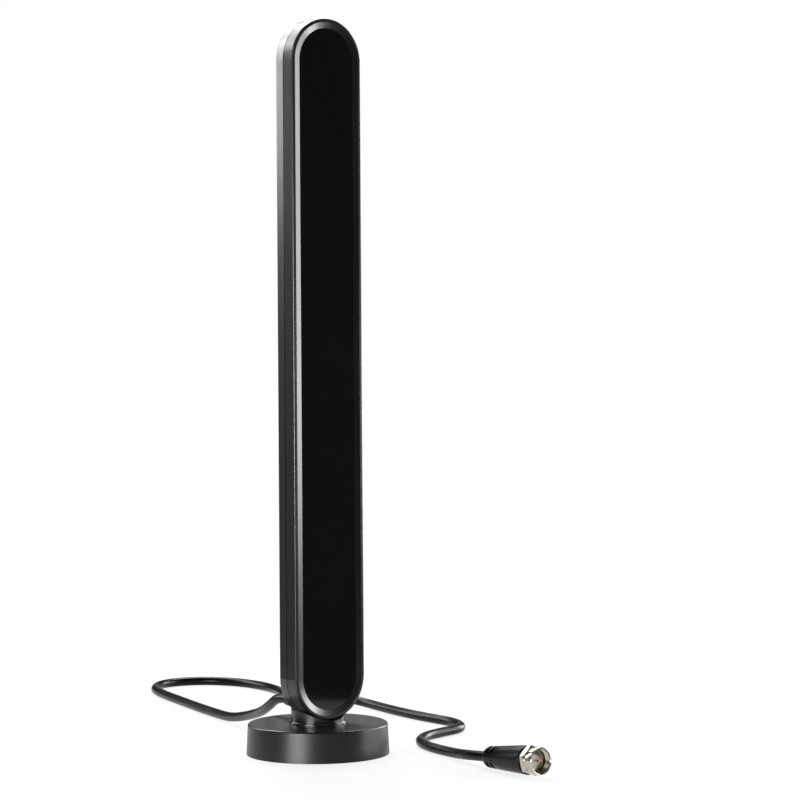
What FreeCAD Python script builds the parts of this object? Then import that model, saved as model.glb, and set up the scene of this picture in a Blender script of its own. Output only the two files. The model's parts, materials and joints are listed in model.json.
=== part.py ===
"""Indoor radio antenna: a slim two-shell tower on a weighted round base, with its coaxial
cable and F plug.

Millimetres, +Z up. The origin is on the floor at the middle of the base, and the panel faces -Y.
"""
import FreeCAD, Part
import math
import os

import Sketcher

Vector = FreeCAD.Vector
Placement = FreeCAD.Placement
Rotation = FreeCAD.Rotation
UP = Vector(0, 0, 1)
FLAT = Rotation()

SIZES = [
    # tower casing
    ("tower_width", 36.0),
    ("tower_length", 295.0),
    ("tower_clearance", 2.0),
    ("tower_front", 9.2),
    ("front_depth", 6.2),
    ("seam_gap", 0.4),
    ("rear_depth", 6.0),
    ("front_draft", 0.11),
    ("rear_draft", 0.32),
    ("shell_wall", 1.8),
    ("rear_wall", 1.6),
    ("front_edge_round", 0.5),
    ("rear_edge_round", 1.5),
    ("lip_thickness", 0.8),
    ("lip_depth", 1.6),
    ("lip_gap", 0.1),
    # front panel and the sloped frame round it
    ("land_width", 1.6),
    ("bevel_width", 2.6),
    ("bevel_depth", 0.5),
    ("panel_thickness", 1.2),
    ("panel_gap", 0.08),
    ("panel_backing", 1.2),
    # aerial board
    ("board_width", 27.0),
    ("board_foot", 21.0),
    ("board_head", 22.0),
    ("board_thickness", 1.0),
    ("board_standoff", 1.7),
    ("board_screw_inset", 6.0),
    ("board_screw_spacing", 19.0),
    ("boss_diameter", 4.6),
    ("radiator_rise", 42.0),
    ("radiator_span", 20.0),
    ("radiator_pitch", 8.0),
    ("radiator_line", 1.8),
    ("radiator_thickness", 0.3),
    ("core_width", 7.0),
    ("core_depth", 4.0),
    ("core_height", 6.0),
    ("core_rise", 26.0),
    ("core_hole_spacing", 3.4),
    ("core_hole_diameter", 1.6),
    ("winding_diameter", 1.4),
    ("winding_tail", 1.5),
    ("clamp_width", 14.0),
    ("clamp_height", 6.0),
    ("clamp_rise", 10.0),
    ("clamp_wall", 0.7),
    ("clamp_foot", 1.5),
    ("clamp_screw_spacing", 10.4),
    # screws and close fits
    ("fit_gap", 0.03),
    ("screw_diameter", 1.8),
    ("screw_clearance", 0.2),
    ("screw_head_diameter", 3.6),
    ("screw_head_height", 1.0),
    ("board_screw_bite", 1.4),
    ("tower_screw_bite", 5.0),
    ("tower_screw_spacing", 13.0),
    ("tower_screw_rise", 12.5),
    ("neck_screw_bite", 7.0),
    ("neck_screw_spacing", 11.0),
    ("neck_screw_back", 7.0),
    ("base_screw_bite", 5.0),
    # neck
    ("neck_diameter", 22.8),
    ("neck_rise", 18.0),
    ("neck_top_round", 2.0),
    ("flange_diameter", 24.5),
    ("flange_thickness", 1.0),
    ("flange_edge_round", 0.4),
    ("spigot_diameter", 14.0),
    # base
    ("base_bottom_diameter", 60.5),
    ("base_top_diameter", 59.2),
    ("base_height", 13.0),
    ("base_wall", 2.0),
    ("base_top_wall", 2.4),
    ("base_edge_round", 0.8),
    ("skirt_lift", 0.1),
    ("pad_thickness", 1.0),
    ("pad_inset", 1.25),
    ("plate_thickness", 1.6),
    ("plate_gap", 0.2),
    ("base_boss_inset", 6.6),
    ("base_boss_diameter", 6.0),
    ("ballast_inset", 1.6),
    ("ballast_headroom", 1.0),
    ("ballast_gap", 0.3),
    # cable and its strain relief at the back of the neck
    ("cable_diameter", 4.2),
    ("exit_rise", 5.8),
    ("exit_gap", 0.3),
    ("tail_bend", 6.0),
    ("tail_rise", 20.0),
    ("tail_gap", 0.05),
    ("core_wire_diameter", 0.9),
    ("core_wire_reach", 2.4),
    ("core_wire_bend", 1.2),
    ("sleeve_core_wall", 1.1),
    ("sleeve_collar_wall", 1.7),
    ("sleeve_tip_wall", 0.7),
    ("sleeve_length", 10.9),
    ("sleeve_seat", 0.8),
    # hank of put-away cable, two turns wide and two high
    ("hank_run", 56.0),
    ("hank_fold_radius", 12.6),
    ("hank_x", 99.3),
    ("hank_y", 132.9),
    ("hank_turn", 52.0),
    ("tie_thickness", 0.8),
    ("tie_width", 5.0),
    # F plug
    ("plug_x", 30.0),
    ("plug_y", -76.5),
    ("plug_lead_in", 12.0),
    ("boot_length", 25.8),
    ("boot_rear_diameter", 8.6),
    ("boot_front_diameter", 12.0),
    ("boot_rear_round", 2.4),
    ("boot_front_round", 0.6),
    ("slot_start", 3.0),
    ("slot_width", 1.4),
    ("slot_pitch", 2.9),
    ("slot_depth", 1.0),
    ("slot_sweep", 132.0),
    ("barrel_diameter", 7.0),
    ("barrel_depth", 10.0),
    ("shoulder_diameter", 10.4),
    ("shoulder_thickness", 0.4),
    ("flange_reach", 0.7),
    ("barrel_flange", 0.8),
    ("insulator_diameter", 4.8),
    ("insulator_depth", 8.0),
    ("pin_diameter", 0.9),
    ("pin_reach", 3.4),
    ("nut_flats", 11.0),
    ("nut_hex_length", 2.4),
    ("nut_collar_diameter", 11.2),
    ("nut_collar_length", 4.4),
    ("nut_turn", 10.0),
    ("nut_thread_gap", 0.25),
    ("nut_lip", 2.0),
    ("nut_play", 0.2),
    ("nut_clearance", 0.05),
    ("nut_chamfer", 0.6),
]

# Cable route on the floor, chosen by hand: from the strain relief's tip to the hank.
NEAR_ROUTE = [
    (0.0, 28.5, 20.8),
    (2.4, 38.0, 16.3),
    (6.6, 49.5, 12.0),
    (12.0, 63.0, 8.8),
    (17.0, 79.0, 5.4),
    (21.0, 95.0, 2.8),
    (25.5, 112.0, 2.15),
    (30.5, 135.0, 2.2),
    (37.0, 160.0, 2.15),
    (43.0, 184.0, 2.15),
    (50.5, 205.5, 2.15),
    (66.0, 219.5, 2.15),
    (85.0, 216.5, 2.15),
    (96.0, 200.5, 2.15),
    (98.0, 180.0, 2.15),
    (94.5, 161.0, 2.4),
    (86.8, 147.5, 5.0),
]

# Cable route from the hank to the straight stretch behind the plug.
FAR_ROUTE = [
    (84.3, 125.4, 2.9),
    (98.0, 102.0, 2.3),
    (95.8, 79.0, 2.15),
    (92.4, 57.0, 2.15),
    (91.2, 37.0, 2.15),
    (91.4, 19.8, 2.15),
    (83.4, 4.8, 2.15),
    (68.0, 1.2, 2.15),
    (53.7, -4.0, 2.15),
    (43.4, -14.0, 2.15),
    (38.0, -27.5, 2.15),
    (36.0, -40.5, 2.15),
    (33.6, -53.0, 2.6),
]

BASE_SCREWS = 3

doc = FreeCAD.newDocument("radio_antenna")
sheet = doc.addObject("Spreadsheet::Sheet", "Sizes")
nodes = []


class Size:
    """A length that keeps the sheet formula it was worked out by."""

    def __init__(self, value, text):
        self.value = value
        self.text = text

    def _with(self, other, sign, result):
        return Size(result, f"({self.text} {sign} {as_size(other).text})")

    def __add__(self, other):
        return self._with(other, "+", self.value + as_size(other).value)

    def __sub__(self, other):
        return self._with(other, "-", self.value - as_size(other).value)

    def __mul__(self, factor):
        return self._with(factor, "*", self.value * as_size(factor).value)

    def __truediv__(self, factor):
        return self._with(factor, "/", self.value / as_size(factor).value)

    def __neg__(self):
        return self * -1

    def __float__(self):
        return float(self.value)


def as_size(number):
    """A Size, from a Size or a plain number."""
    return number if isinstance(number, Size) else Size(float(number), repr(float(number)))


def fill_sheet():
    """Write the driving sizes to the sheet, one alias a row, and return them by name."""
    for row, (alias, value) in enumerate(SIZES, start=1):
        sheet.set(f"A{row}", str(value))
        sheet.setAlias(f"A{row}", alias)
    doc.recompute()
    return {alias: Size(float(getattr(sheet, alias)), f"Sizes.{alias}") for alias, _ in SIZES}


S = fill_sheet()

# Places that several pieces share
half_width = S["tower_width"] / 2
tower_bottom = S["base_height"] + S["tower_clearance"]
tower_top = tower_bottom + S["tower_length"]
low_centre = tower_bottom + half_width
high_centre = tower_top - half_width
tower_back = S["front_depth"] + S["seam_gap"] + S["rear_depth"] - S["tower_front"]
rear_inside = tower_back - S["rear_wall"]
board_back = rear_inside - S["board_standoff"]
board_front = board_back - S["board_thickness"]
board_bottom = tower_bottom + S["board_foot"]
board_top = tower_top - S["board_head"]
cable_radius = S["cable_diameter"] / 2
exit_height = tower_bottom + S["exit_rise"]
tail_y = board_front - cable_radius - S["tail_gap"]
neck_radius = S["neck_diameter"] / 2
neck_top = tower_bottom + S["neck_rise"]
sleeve_seat_y = neck_radius - S["sleeve_seat"]
sleeve_tip_y = sleeve_seat_y + S["sleeve_length"]
plate_top = S["pad_thickness"] + S["plate_thickness"]
base_ceiling = S["base_height"] - S["base_top_wall"]
base_boss_place = S["base_top_diameter"] / 2 - S["base_wall"] - S["base_boss_inset"]
screw_radius = S["screw_diameter"] / 2
pilot_radius = screw_radius + S["fit_gap"]
tower_screw_height = tower_bottom + S["tower_screw_rise"]
screw_hole_radius = screw_radius + S["screw_clearance"]
head_radius = S["screw_head_diameter"] / 2


def bind(obj, prop, length):
    """Tie a property to the sheet."""
    obj.setExpression(prop, as_size(length).text)


def keep(obj, label):
    """Name a finished sub-part; its label names its file."""
    obj.Label = label
    nodes.append(obj)
    return obj


# Part Design helpers


def new_body(name):
    return doc.addObject("PartDesign::Body", name)


def sketch_on(body, role, offset=0.0):
    """A sketch on one of the body's own planes, moved along the plane's normal."""
    plane = next(f for f in body.Origin.OriginFeatures if f.Role == role)
    sketch = body.newObject("Sketcher::SketchObject", f"{body.Name}Sketch")
    sketch.AttachmentSupport = [(plane, "")]
    sketch.MapMode = "FlatFace"
    offset = as_size(offset)
    sketch.AttachmentOffset = Placement(Vector(0, 0, offset.value), FLAT)
    bind(sketch, "AttachmentOffset.Base.z", offset)
    return sketch


def dimension(sketch, kind, *geometry, length):
    """Add a driving dimension that follows the sheet."""
    index = sketch.addConstraint(Sketcher.Constraint(kind, *geometry, float(length)))
    bind(sketch, f"Constraints[{index}]", length)


def place_point(sketch, geometry, point, x, y):
    """Fix a point by its distances from the sketch's origin, either side of it."""
    for kind, axis, length in (("DistanceX", -2, as_size(x)), ("DistanceY", -1, as_size(y))):
        if abs(length.value) < 1e-9:
            sketch.addConstraint(Sketcher.Constraint("PointOnObject", geometry, point, axis))
        elif length.value > 0:
            dimension(sketch, kind, -1, 1, geometry, point, length=length)
        else:
            dimension(sketch, kind, geometry, point, -1, 1, length=-length)


def stadium(sketch, radius, low, high):
    """A round-ended slot outline along the sketch's Y axis, between two end centres."""
    r, y0, y1 = float(radius), float(low), float(high)
    normal = Vector(0, 0, 1)
    sketch.addGeometry(Part.ArcOfCircle(Part.Circle(Vector(0, y1, 0), normal, r), 0, math.pi))
    sketch.addGeometry(Part.LineSegment(Vector(-r, y1, 0), Vector(-r, y0, 0)))
    sketch.addGeometry(Part.ArcOfCircle(Part.Circle(Vector(0, y0, 0), normal, r), math.pi, 2 * math.pi))
    sketch.addGeometry(Part.LineSegment(Vector(r, y0, 0), Vector(r, y1, 0)))
    for this in range(4):
        sketch.addConstraint(Sketcher.Constraint("Tangent", this, 2, (this + 1) % 4, 1))
    sketch.addConstraint(Sketcher.Constraint("Equal", 0, 2))
    dimension(sketch, "Radius", 0, length=radius)
    place_point(sketch, 0, 3, 0, high)
    place_point(sketch, 2, 3, 0, low)


def circle(sketch, radius, x=0.0, y=0.0):
    """A circle at a dimensioned place."""
    x, y = as_size(x), as_size(y)
    index = sketch.addGeometry(Part.Circle(Vector(x.value, y.value, 0), Vector(0, 0, 1), float(radius)))
    dimension(sketch, "Radius", index, length=radius)
    place_point(sketch, index, 3, x, y)


def outline(sketch, corners):
    """A closed outline of straight sides, each corner dimensioned from the origin."""
    places = [(as_size(x), as_size(y)) for x, y in corners]
    points = [Vector(x.value, y.value, 0) for x, y in places]
    for start, end in zip(points, points[1:] + points[:1]):
        sketch.addGeometry(Part.LineSegment(start, end))
    count = len(points)
    for this in range(count):
        sketch.addConstraint(Sketcher.Constraint("Coincident", this, 2, (this + 1) % count, 1))
    for this, (x, y) in enumerate(places):
        place_point(sketch, this, 1, x, y)


def feature(body, kind, sketch, length=None, reverse=False, **settings):
    """Pad, Pocket, Revolution or Groove of a sketch."""
    made = body.newObject(f"PartDesign::{kind}", f"{body.Name}{kind}")
    made.Profile = sketch
    if length is not None:
        bind(made, "Length", length)
    if kind in ("Revolution", "Groove"):
        made.ReferenceAxis = (sketch, ["V_Axis"])
        made.Angle = 360.0
    made.Reversed = reverse
    for name, value in settings.items():
        setattr(made, name, value)
    doc.recompute()
    return made


def round_edges(body, radius, chosen):
    """Fillet the edges of the body's tip that the test chooses."""
    tip = body.Tip
    names = [f"Edge{i}" for i, edge in enumerate(tip.Shape.Edges, start=1) if chosen(edge)]
    fillet = body.newObject("PartDesign::Fillet", f"{body.Name}Fillet")
    fillet.Base = (tip, names)
    bind(fillet, "Radius", radius)
    doc.recompute()
    return fillet


def lies_at(axis, place, reach=None, near=0.01):
    """A test for edges in one plane, optionally those that reach a given distance from its middle."""
    low, high = f"{axis}Min", f"{axis}Max"

    def chosen(edge):
        box = edge.BoundBox
        flat = abs(getattr(box, low) - float(place)) < near and abs(getattr(box, high) - float(place)) < near
        return flat and (reach is None or abs(box.XMax - float(reach)) < near)

    return chosen


def repeat(body, originals, count):
    """Repeat features evenly about the body's Z axis."""
    pattern = body.newObject("PartDesign::PolarPattern", f"{body.Name}Pattern")
    pattern.Originals = originals
    pattern.Axis = (next(f for f in body.Origin.OriginFeatures if f.Role == "Z_Axis"), [""])
    pattern.Angle = 360.0
    pattern.Occurrences = count
    body.Tip = pattern
    doc.recompute()
    return pattern


# Part helpers


def solid(kind, base=(0, 0, 0), turn=FLAT, **lengths):
    """A Part primitive with its sizes and its place tied to the sheet."""
    made = doc.addObject(f"Part::{kind}", kind)
    base = [as_size(length) for length in base]
    made.Placement = Placement(Vector(*(length.value for length in base)), turn)
    for axis, length in zip("xyz", base):
        bind(made, f"Placement.Base.{axis}", length)
    for prop, length in lengths.items():
        bind(made, prop, length)
    return made


def joined(*shapes):
    made = doc.addObject("Part::MultiFuse", "Joined")
    made.Shapes = list(shapes)
    return made


def cut(base, tool):
    made = doc.addObject("Part::Cut", "Cut")
    made.Base = base
    made.Tool = tool
    return made


def group(label, pieces):
    """Identical pieces in one node, each still a solid of its own."""
    made = doc.addObject("Part::Compound", "Group")
    made.Links = pieces
    return keep(made, label)


def screw(seat, turn, shank):
    """A pan-head screw: its head stands on the seat, and its shank runs along the turned +Z axis."""
    head_base = [as_size(length) for length in seat]
    along = turn.multVec(UP)
    back = [length - S["screw_head_height"] * step for length, step in zip(head_base, along)]
    head = solid("Cylinder", back, turn, Radius=head_radius, Height=S["screw_head_height"])
    body = solid("Cylinder", head_base, turn, Radius=screw_radius, Height=shank)
    return joined(head, body)


def route_edges(points):
    """Straight runs joined by tangent arcs, each as large as its two runs allow."""
    points = [Vector(*point) for point in points]
    edges, radii, start = [], [], points[0]
    for before, corner, after in zip(points, points[1:], points[2:]):
        back, ahead = before - corner, after - corner
        turn = math.pi - back.getAngle(ahead)
        reach = 0.45 * min(back.Length, ahead.Length)
        radii.append(reach / math.tan(turn / 2))
        back.normalize()
        ahead.normalize()
        entry, leave = corner + back * reach, corner + ahead * reach
        inward = (back + ahead).normalize()
        sagitta = radii[-1] / math.cos(turn / 2) - radii[-1]
        edges.append(Part.LineSegment(start, entry).toShape())
        edges.append(Part.Arc(entry, corner + inward * sagitta, leave).toShape())
        start = leave
    edges.append(Part.LineSegment(start, points[-1]).toShape())
    return edges, radii


def tube(edges, diameter):
    """A round tube along joined edges, checked against its section times its length."""
    path = Part.Wire(edges)
    start = path.OrderedVertexes[0].Point
    along = path.OrderedEdges[0].tangentAt(path.OrderedEdges[0].FirstParameter)
    section = Part.Wire(Part.makeCircle(float(diameter) / 2, start, along))
    swept = path.makePipeShell([section], True, True)
    expected = math.pi * float(diameter) ** 2 / 4 * path.Length
    if abs(swept.Volume / expected - 1) > 0.01:
        raise ValueError(f"tube volume {swept.Volume:.1f}, expected {expected:.1f}")
    return swept


def shaped(label, shape):
    """A sub-part whose shape is set directly."""
    made = doc.addObject("Part::Feature", "Shaped")
    made.Shape = shape
    return keep(made, label)


# Tower casing


def tapered(body, kind, *sections):
    """Add or take away a tower outline that changes width, each section a half width and a place forward."""
    sketches = []
    for half, forward in sections:
        sketches.append(sketch_on(body, "XZ_Plane", forward))
        stadium(sketches[-1], half, low_centre, high_centre)
    loft = body.newObject(f"PartDesign::{kind}Loft", f"{body.Name}{kind}Taper")
    loft.Profile = sketches[0]
    loft.Sections = sketches[1:]
    loft.Ruled = True
    doc.recompute()


def make_front_shell():
    """Front half of the casing: flat land, frame sloping in to the panel, seat for the rear shell's lip."""
    body = new_body("FrontShell")
    rim = S["tower_front"] - S["front_depth"]
    front = S["tower_front"]
    land = half_width - S["land_width"]
    opening = land - S["bevel_width"]
    panel_seat = S["bevel_depth"] + S["panel_thickness"]

    tapered(body, "Additive", (half_width, rim), (half_width - S["front_draft"], front))
    round_edges(body, S["front_edge_round"], lies_at("Y", -front))
    tapered(body, "Subtractive", (land, front), (opening, front - S["bevel_depth"]))

    seat = sketch_on(body, "XZ_Plane", front - S["bevel_depth"])
    stadium(seat, opening, low_centre, high_centre)
    feature(body, "Pocket", seat, S["panel_thickness"])

    cavity = sketch_on(body, "XZ_Plane", rim)
    stadium(cavity, half_width - S["shell_wall"], low_centre, high_centre)
    feature(body, "Pocket", cavity, S["front_depth"] - panel_seat - S["panel_backing"], reverse=True)

    rebate = sketch_on(body, "XZ_Plane", rim)
    stadium(rebate, lip_outside() + S["lip_gap"], low_centre, high_centre)
    feature(body, "Pocket", rebate, S["lip_depth"], reverse=True)
    return keep(body, "front_shell")


def lip_outside():
    """Half width of the rear shell's lip, which fits inside the front shell's rim."""
    return half_width - S["shell_wall"] + S["lip_thickness"]


def make_front_panel():
    """Gloss inlay, level with the inner edge of the sloped frame."""
    body = new_body("FrontPanel")
    opening = half_width - S["land_width"] - S["bevel_width"]
    sketch = sketch_on(body, "XZ_Plane", S["tower_front"] - S["bevel_depth"] - S["panel_thickness"])
    stadium(sketch, opening - S["panel_gap"], low_centre, high_centre)
    feature(body, "Pad", sketch, S["panel_thickness"])
    return keep(body, "front_panel")


def make_rear_shell():
    """Rear half of the casing: tray with a lip, board bosses, cable hole and two neck screw holes."""
    body = new_body("RearShell")
    rim = S["tower_front"] - S["front_depth"] - S["seam_gap"]

    tapered(body, "Additive", (half_width, rim), (half_width - S["rear_draft"], rim - S["rear_depth"]))
    round_edges(body, S["rear_edge_round"], lies_at("Y", tower_back))

    lip = sketch_on(body, "XZ_Plane", rim)
    stadium(lip, lip_outside(), low_centre, high_centre)
    feature(body, "Pad", lip, S["lip_depth"] + S["seam_gap"])

    cavity = sketch_on(body, "XZ_Plane", rim + S["lip_depth"] + S["seam_gap"])
    stadium(cavity, half_width - S["shell_wall"], low_centre, high_centre)
    feature(body, "Pocket", cavity, S["rear_depth"] - S["rear_wall"] + S["lip_depth"] + S["seam_gap"])

    bosses = sketch_on(body, "XZ_Plane", -rear_inside)
    for x, z in board_screw_places():
        circle(bosses, S["boss_diameter"] / 2, x, z)
    feature(body, "Pad", bosses, S["board_standoff"])
    pilots = sketch_on(body, "XZ_Plane", -board_back)
    for x, z in board_screw_places():
        circle(pilots, pilot_radius, x, z)
    feature(body, "Pocket", pilots, S["board_screw_bite"])

    holes = sketch_on(body, "XZ_Plane", -rear_inside)
    circle(holes, cable_radius + S["exit_gap"], 0, exit_height)
    for x in tower_screw_sides():
        circle(holes, screw_hole_radius, x, tower_screw_height)
    feature(body, "Pocket", holes, S["rear_wall"])
    return keep(body, "rear_shell")


def board_screw_places():
    """Screw places on the board, as x and z."""
    side = S["board_screw_spacing"] / 2
    low = board_bottom + S["board_screw_inset"]
    high = board_top - S["board_screw_inset"]
    return [(x, z) for z in (low, high) for x in (-side, side)]


def tower_screw_sides():
    side = S["tower_screw_spacing"] / 2
    return (-side, side)


# Aerial board inside the tower

BACKWARD = Rotation(Vector(1, 0, 0), -90)  # turns +Z to +Y


def make_board():
    """Glass-fibre board with a hole for each screw."""
    body = new_body("CircuitBoard")
    half = S["board_width"] / 2
    sketch = sketch_on(body, "XZ_Plane", -board_back)
    corners = [
        (-half, board_bottom),
        (half, board_bottom),
        (half, board_top),
        (-half, board_top),
    ]
    outline(sketch, corners)
    feature(body, "Pad", sketch, S["board_thickness"])
    holes = sketch_on(body, "XZ_Plane", -board_front)
    for x, z in board_screw_places():
        circle(holes, screw_hole_radius, x, z)
    for x in clamp_screw_sides():
        circle(holes, pilot_radius, x, clamp_middle())
    feature(body, "Pocket", holes, S["board_thickness"])
    keep(body, "circuit_board")

    seats = [screw((x, board_front, z), BACKWARD, board_screw_shank()) for x, z in board_screw_places()]
    group("board_screws", seats)


def board_screw_shank():
    return S["board_thickness"] + S["board_screw_bite"]


def make_radiator():
    """Meander conductor that climbs the front of the board, pass by pass."""
    span, pitch = float(S["radiator_span"]), float(S["radiator_pitch"])
    line, start = float(S["radiator_line"]), float(board_bottom + S["radiator_rise"])
    top = float(board_top - S["board_screw_inset"] * 2) - line
    passes = int((top - start) / pitch)
    left, right = [], []
    for index in range(passes + 1):
        z = start + index * pitch
        edge = span / 2 if index % 2 else -span / 2
        inner = edge - math.copysign(line, edge)
        near, far = (left, right) if edge < 0 else (right, left)
        near += [(edge, z), (edge, z + pitch + line)]
        far += [(inner, z + line), (inner, z + pitch)]
    path = left + right[::-1]
    corners = [Vector(x, float(board_front), min(z, top)) for x, z in path]
    face = Part.Face(Part.makePolygon(corners + corners[:1]))
    return shaped("radiator", face.extrude(Vector(0, -float(S["radiator_thickness"]), 0)))


def make_transformer():
    """Two-hole ferrite core on the board, with a wire loop through its holes."""
    half = S["core_width"] / 2
    bottom = board_bottom + S["core_rise"]
    base = (-half, board_front - S["core_depth"], bottom)
    block = solid("Box", base, Length=S["core_width"], Width=S["core_depth"], Height=S["core_height"])
    middle = board_front - S["core_depth"] / 2
    side = S["core_hole_spacing"] / 2
    holes = [
        solid(
            "Cylinder",
            (x, middle, bottom),
            Radius=S["core_hole_diameter"] / 2,
            Height=S["core_height"],
        )
        for x in (-side, side)
    ]
    keep(cut(block, joined(*holes)), "transformer_core")

    x, y = float(side), float(middle)
    low = float(bottom - S["winding_tail"])
    high = float(bottom + S["core_height"] + S["winding_tail"] / 2)
    legs = [Vector(-x, y, low), Vector(-x, y, high), Vector(x, y, high), Vector(x, y, low)]
    edges = [
        Part.LineSegment(legs[0], legs[1]).toShape(),
        Part.Arc(legs[1], Vector(0, y, high + x), legs[2]).toShape(),
        Part.LineSegment(legs[2], legs[3]).toShape(),
    ]
    shaped("transformer_winding", tube(edges, S["winding_diameter"]))


def clamp_middle():
    return board_bottom + S["clamp_rise"] + S["clamp_height"] / 2


def clamp_screw_sides():
    side = S["clamp_screw_spacing"] / 2
    return (-side, side)


def make_clamp():
    """Saddle that holds the cable's end on the board, with a screw in each foot."""
    depth = S["cable_diameter"] + S["tail_gap"] + S["clamp_wall"]
    hump_half = cable_radius + S["tail_gap"] + S["clamp_wall"]
    low, high = board_bottom + S["clamp_rise"], S["clamp_height"]
    hump = solid("Box", (-hump_half, board_front - depth, low), Length=hump_half * 2, Width=depth, Height=high)
    half = S["clamp_width"] / 2
    foot_front = board_front - S["clamp_foot"]
    feet = solid("Box", (-half, foot_front, low), Length=half * 2, Width=S["clamp_foot"], Height=high)
    seat_radius = cable_radius + S["fit_gap"]
    round_seat = solid("Cylinder", (0, tail_y, low), Radius=seat_radius, Height=high)
    way = (-seat_radius, tail_y, low)
    straight_way = solid("Box", way, Length=seat_radius * 2, Width=board_front - tail_y, Height=high)
    holes = [
        solid("Cylinder", (x, foot_front, clamp_middle()), BACKWARD, Radius=pilot_radius, Height=S["clamp_foot"])
        for x in clamp_screw_sides()
    ]
    saddle = cut(joined(hump, feet), joined(round_seat, straight_way, *holes))
    keep(saddle, "cable_clamp")

    shank = S["clamp_foot"] + S["board_thickness"]
    group("clamp_screws", [screw((x, foot_front, clamp_middle()), BACKWARD, shank) for x in clamp_screw_sides()])


# Neck and base


def neck_screw_places():
    side = S["neck_screw_spacing"] / 2
    return [(-side, S["neck_screw_back"]), (side, S["neck_screw_back"])]


def make_neck():
    """Round post, hollowed to the tower's round foot, with a flange and a spigot in the base cover."""
    body = new_body("Neck")
    post = sketch_on(body, "XY_Plane", S["base_height"])
    circle(post, neck_radius)
    feature(body, "Pad", post, neck_top - S["base_height"])
    round_edges(body, S["neck_top_round"], lies_at("Z", neck_top))

    saddle = sketch_on(body, "XZ_Plane", -tower_back)
    stadium(saddle, half_width + S["fit_gap"], low_centre, high_centre)
    feature(body, "Pocket", saddle, tower_back + neck_radius, reverse=True)

    flange = sketch_on(body, "XY_Plane", S["base_height"])
    circle(flange, S["flange_diameter"] / 2)
    feature(body, "Pad", flange, S["flange_thickness"])
    flange_top = S["base_height"] + S["flange_thickness"]
    round_edges(body, S["flange_edge_round"], lies_at("Z", flange_top, S["flange_diameter"] / 2))

    spigot = sketch_on(body, "XY_Plane", S["base_height"])
    circle(spigot, S["spigot_diameter"] / 2)
    feature(body, "Pad", spigot, S["base_top_wall"], reverse=True)

    pilots = sketch_on(body, "XY_Plane", S["base_height"])
    for x, y in neck_screw_places():
        circle(pilots, pilot_radius, x, y)
    feature(body, "Pocket", pilots, S["neck_screw_bite"], reverse=True)

    cable_way = sketch_on(body, "XZ_Plane", -tower_back)
    circle(cable_way, cable_radius + S["sleeve_core_wall"] + S["fit_gap"], 0, exit_height)
    feature(body, "Pocket", cable_way, neck_radius)
    seat = sketch_on(body, "XZ_Plane", -sleeve_seat_y)
    circle(seat, cable_radius + S["sleeve_collar_wall"] + S["fit_gap"], 0, exit_height)
    feature(body, "Pocket", seat, neck_radius)

    screws = sketch_on(body, "XZ_Plane", -tower_back)
    for x in tower_screw_sides():
        circle(screws, pilot_radius, x, tower_screw_height)
    feature(body, "Pocket", screws, S["tower_screw_bite"])
    keep(body, "neck")

    shank = S["rear_wall"] + S["tower_screw_bite"]
    places = [(x, rear_inside, tower_screw_height) for x in tower_screw_sides()]
    group("tower_screws", [screw(place, BACKWARD, shank) for place in places])

    shank = S["base_top_wall"] + S["neck_screw_bite"]
    group("neck_screws", [screw((x, y, base_ceiling), FLAT, shank) for x, y in neck_screw_places()])


def make_base_cover():
    """Slightly tapered cup, open below, with three screw bosses under its top."""
    body = new_body("BaseCover")
    top, bottom = S["base_top_diameter"] / 2, S["base_bottom_diameter"] / 2
    hole = S["spigot_diameter"] / 2 + S["fit_gap"]
    profile = sketch_on(body, "XZ_Plane")
    corners = [
        (hole, S["base_height"]),
        (hole, base_ceiling),
        (top - S["base_wall"], base_ceiling),
        (bottom - S["base_wall"], S["skirt_lift"]),
        (bottom, S["skirt_lift"]),
        (top, S["base_height"]),
    ]
    outline(profile, corners)
    feature(body, "Revolution", profile)
    round_edges(body, S["base_edge_round"], lies_at("Z", S["base_height"], top))

    boss = sketch_on(body, "XY_Plane", plate_top)
    circle(boss, S["base_boss_diameter"] / 2, 0, base_boss_place)
    post = feature(body, "Pad", boss, base_ceiling - plate_top)
    pilot = sketch_on(body, "XY_Plane", plate_top)
    circle(pilot, pilot_radius, 0, base_boss_place)
    bite = feature(body, "Pocket", pilot, S["base_screw_bite"], reverse=True)
    repeat(body, [post, bite], BASE_SCREWS)

    holes = sketch_on(body, "XY_Plane", S["base_height"])
    for x, y in neck_screw_places():
        circle(holes, screw_hole_radius, x, y)
    feature(body, "Pocket", holes, S["base_top_wall"])
    return keep(body, "base_cover")


def make_ballast():
    """Steel disc that lies on the base plate, with a way for each boss."""
    body = new_body("BallastWeight")
    thickness = base_ceiling - S["screw_head_height"] - S["ballast_headroom"] - plate_top
    disc = sketch_on(body, "XY_Plane", plate_top)
    circle(disc, S["base_top_diameter"] / 2 - S["base_wall"] - S["ballast_inset"])
    feature(body, "Pad", disc, thickness)
    way = sketch_on(body, "XY_Plane", plate_top)
    circle(way, S["base_boss_diameter"] / 2 + S["ballast_gap"], 0, base_boss_place)
    hole = feature(body, "Pocket", way, thickness, reverse=True)
    repeat(body, [hole], BASE_SCREWS)
    return keep(body, "ballast_weight")


def skirt_inside(height):
    """Half width inside the cover's skirt at a height."""
    top, bottom = S["base_top_diameter"] / 2, S["base_bottom_diameter"] / 2
    share = (height - S["skirt_lift"]) / (base_ceiling - S["skirt_lift"])
    return bottom - S["base_wall"] + (top - bottom) * share


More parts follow.
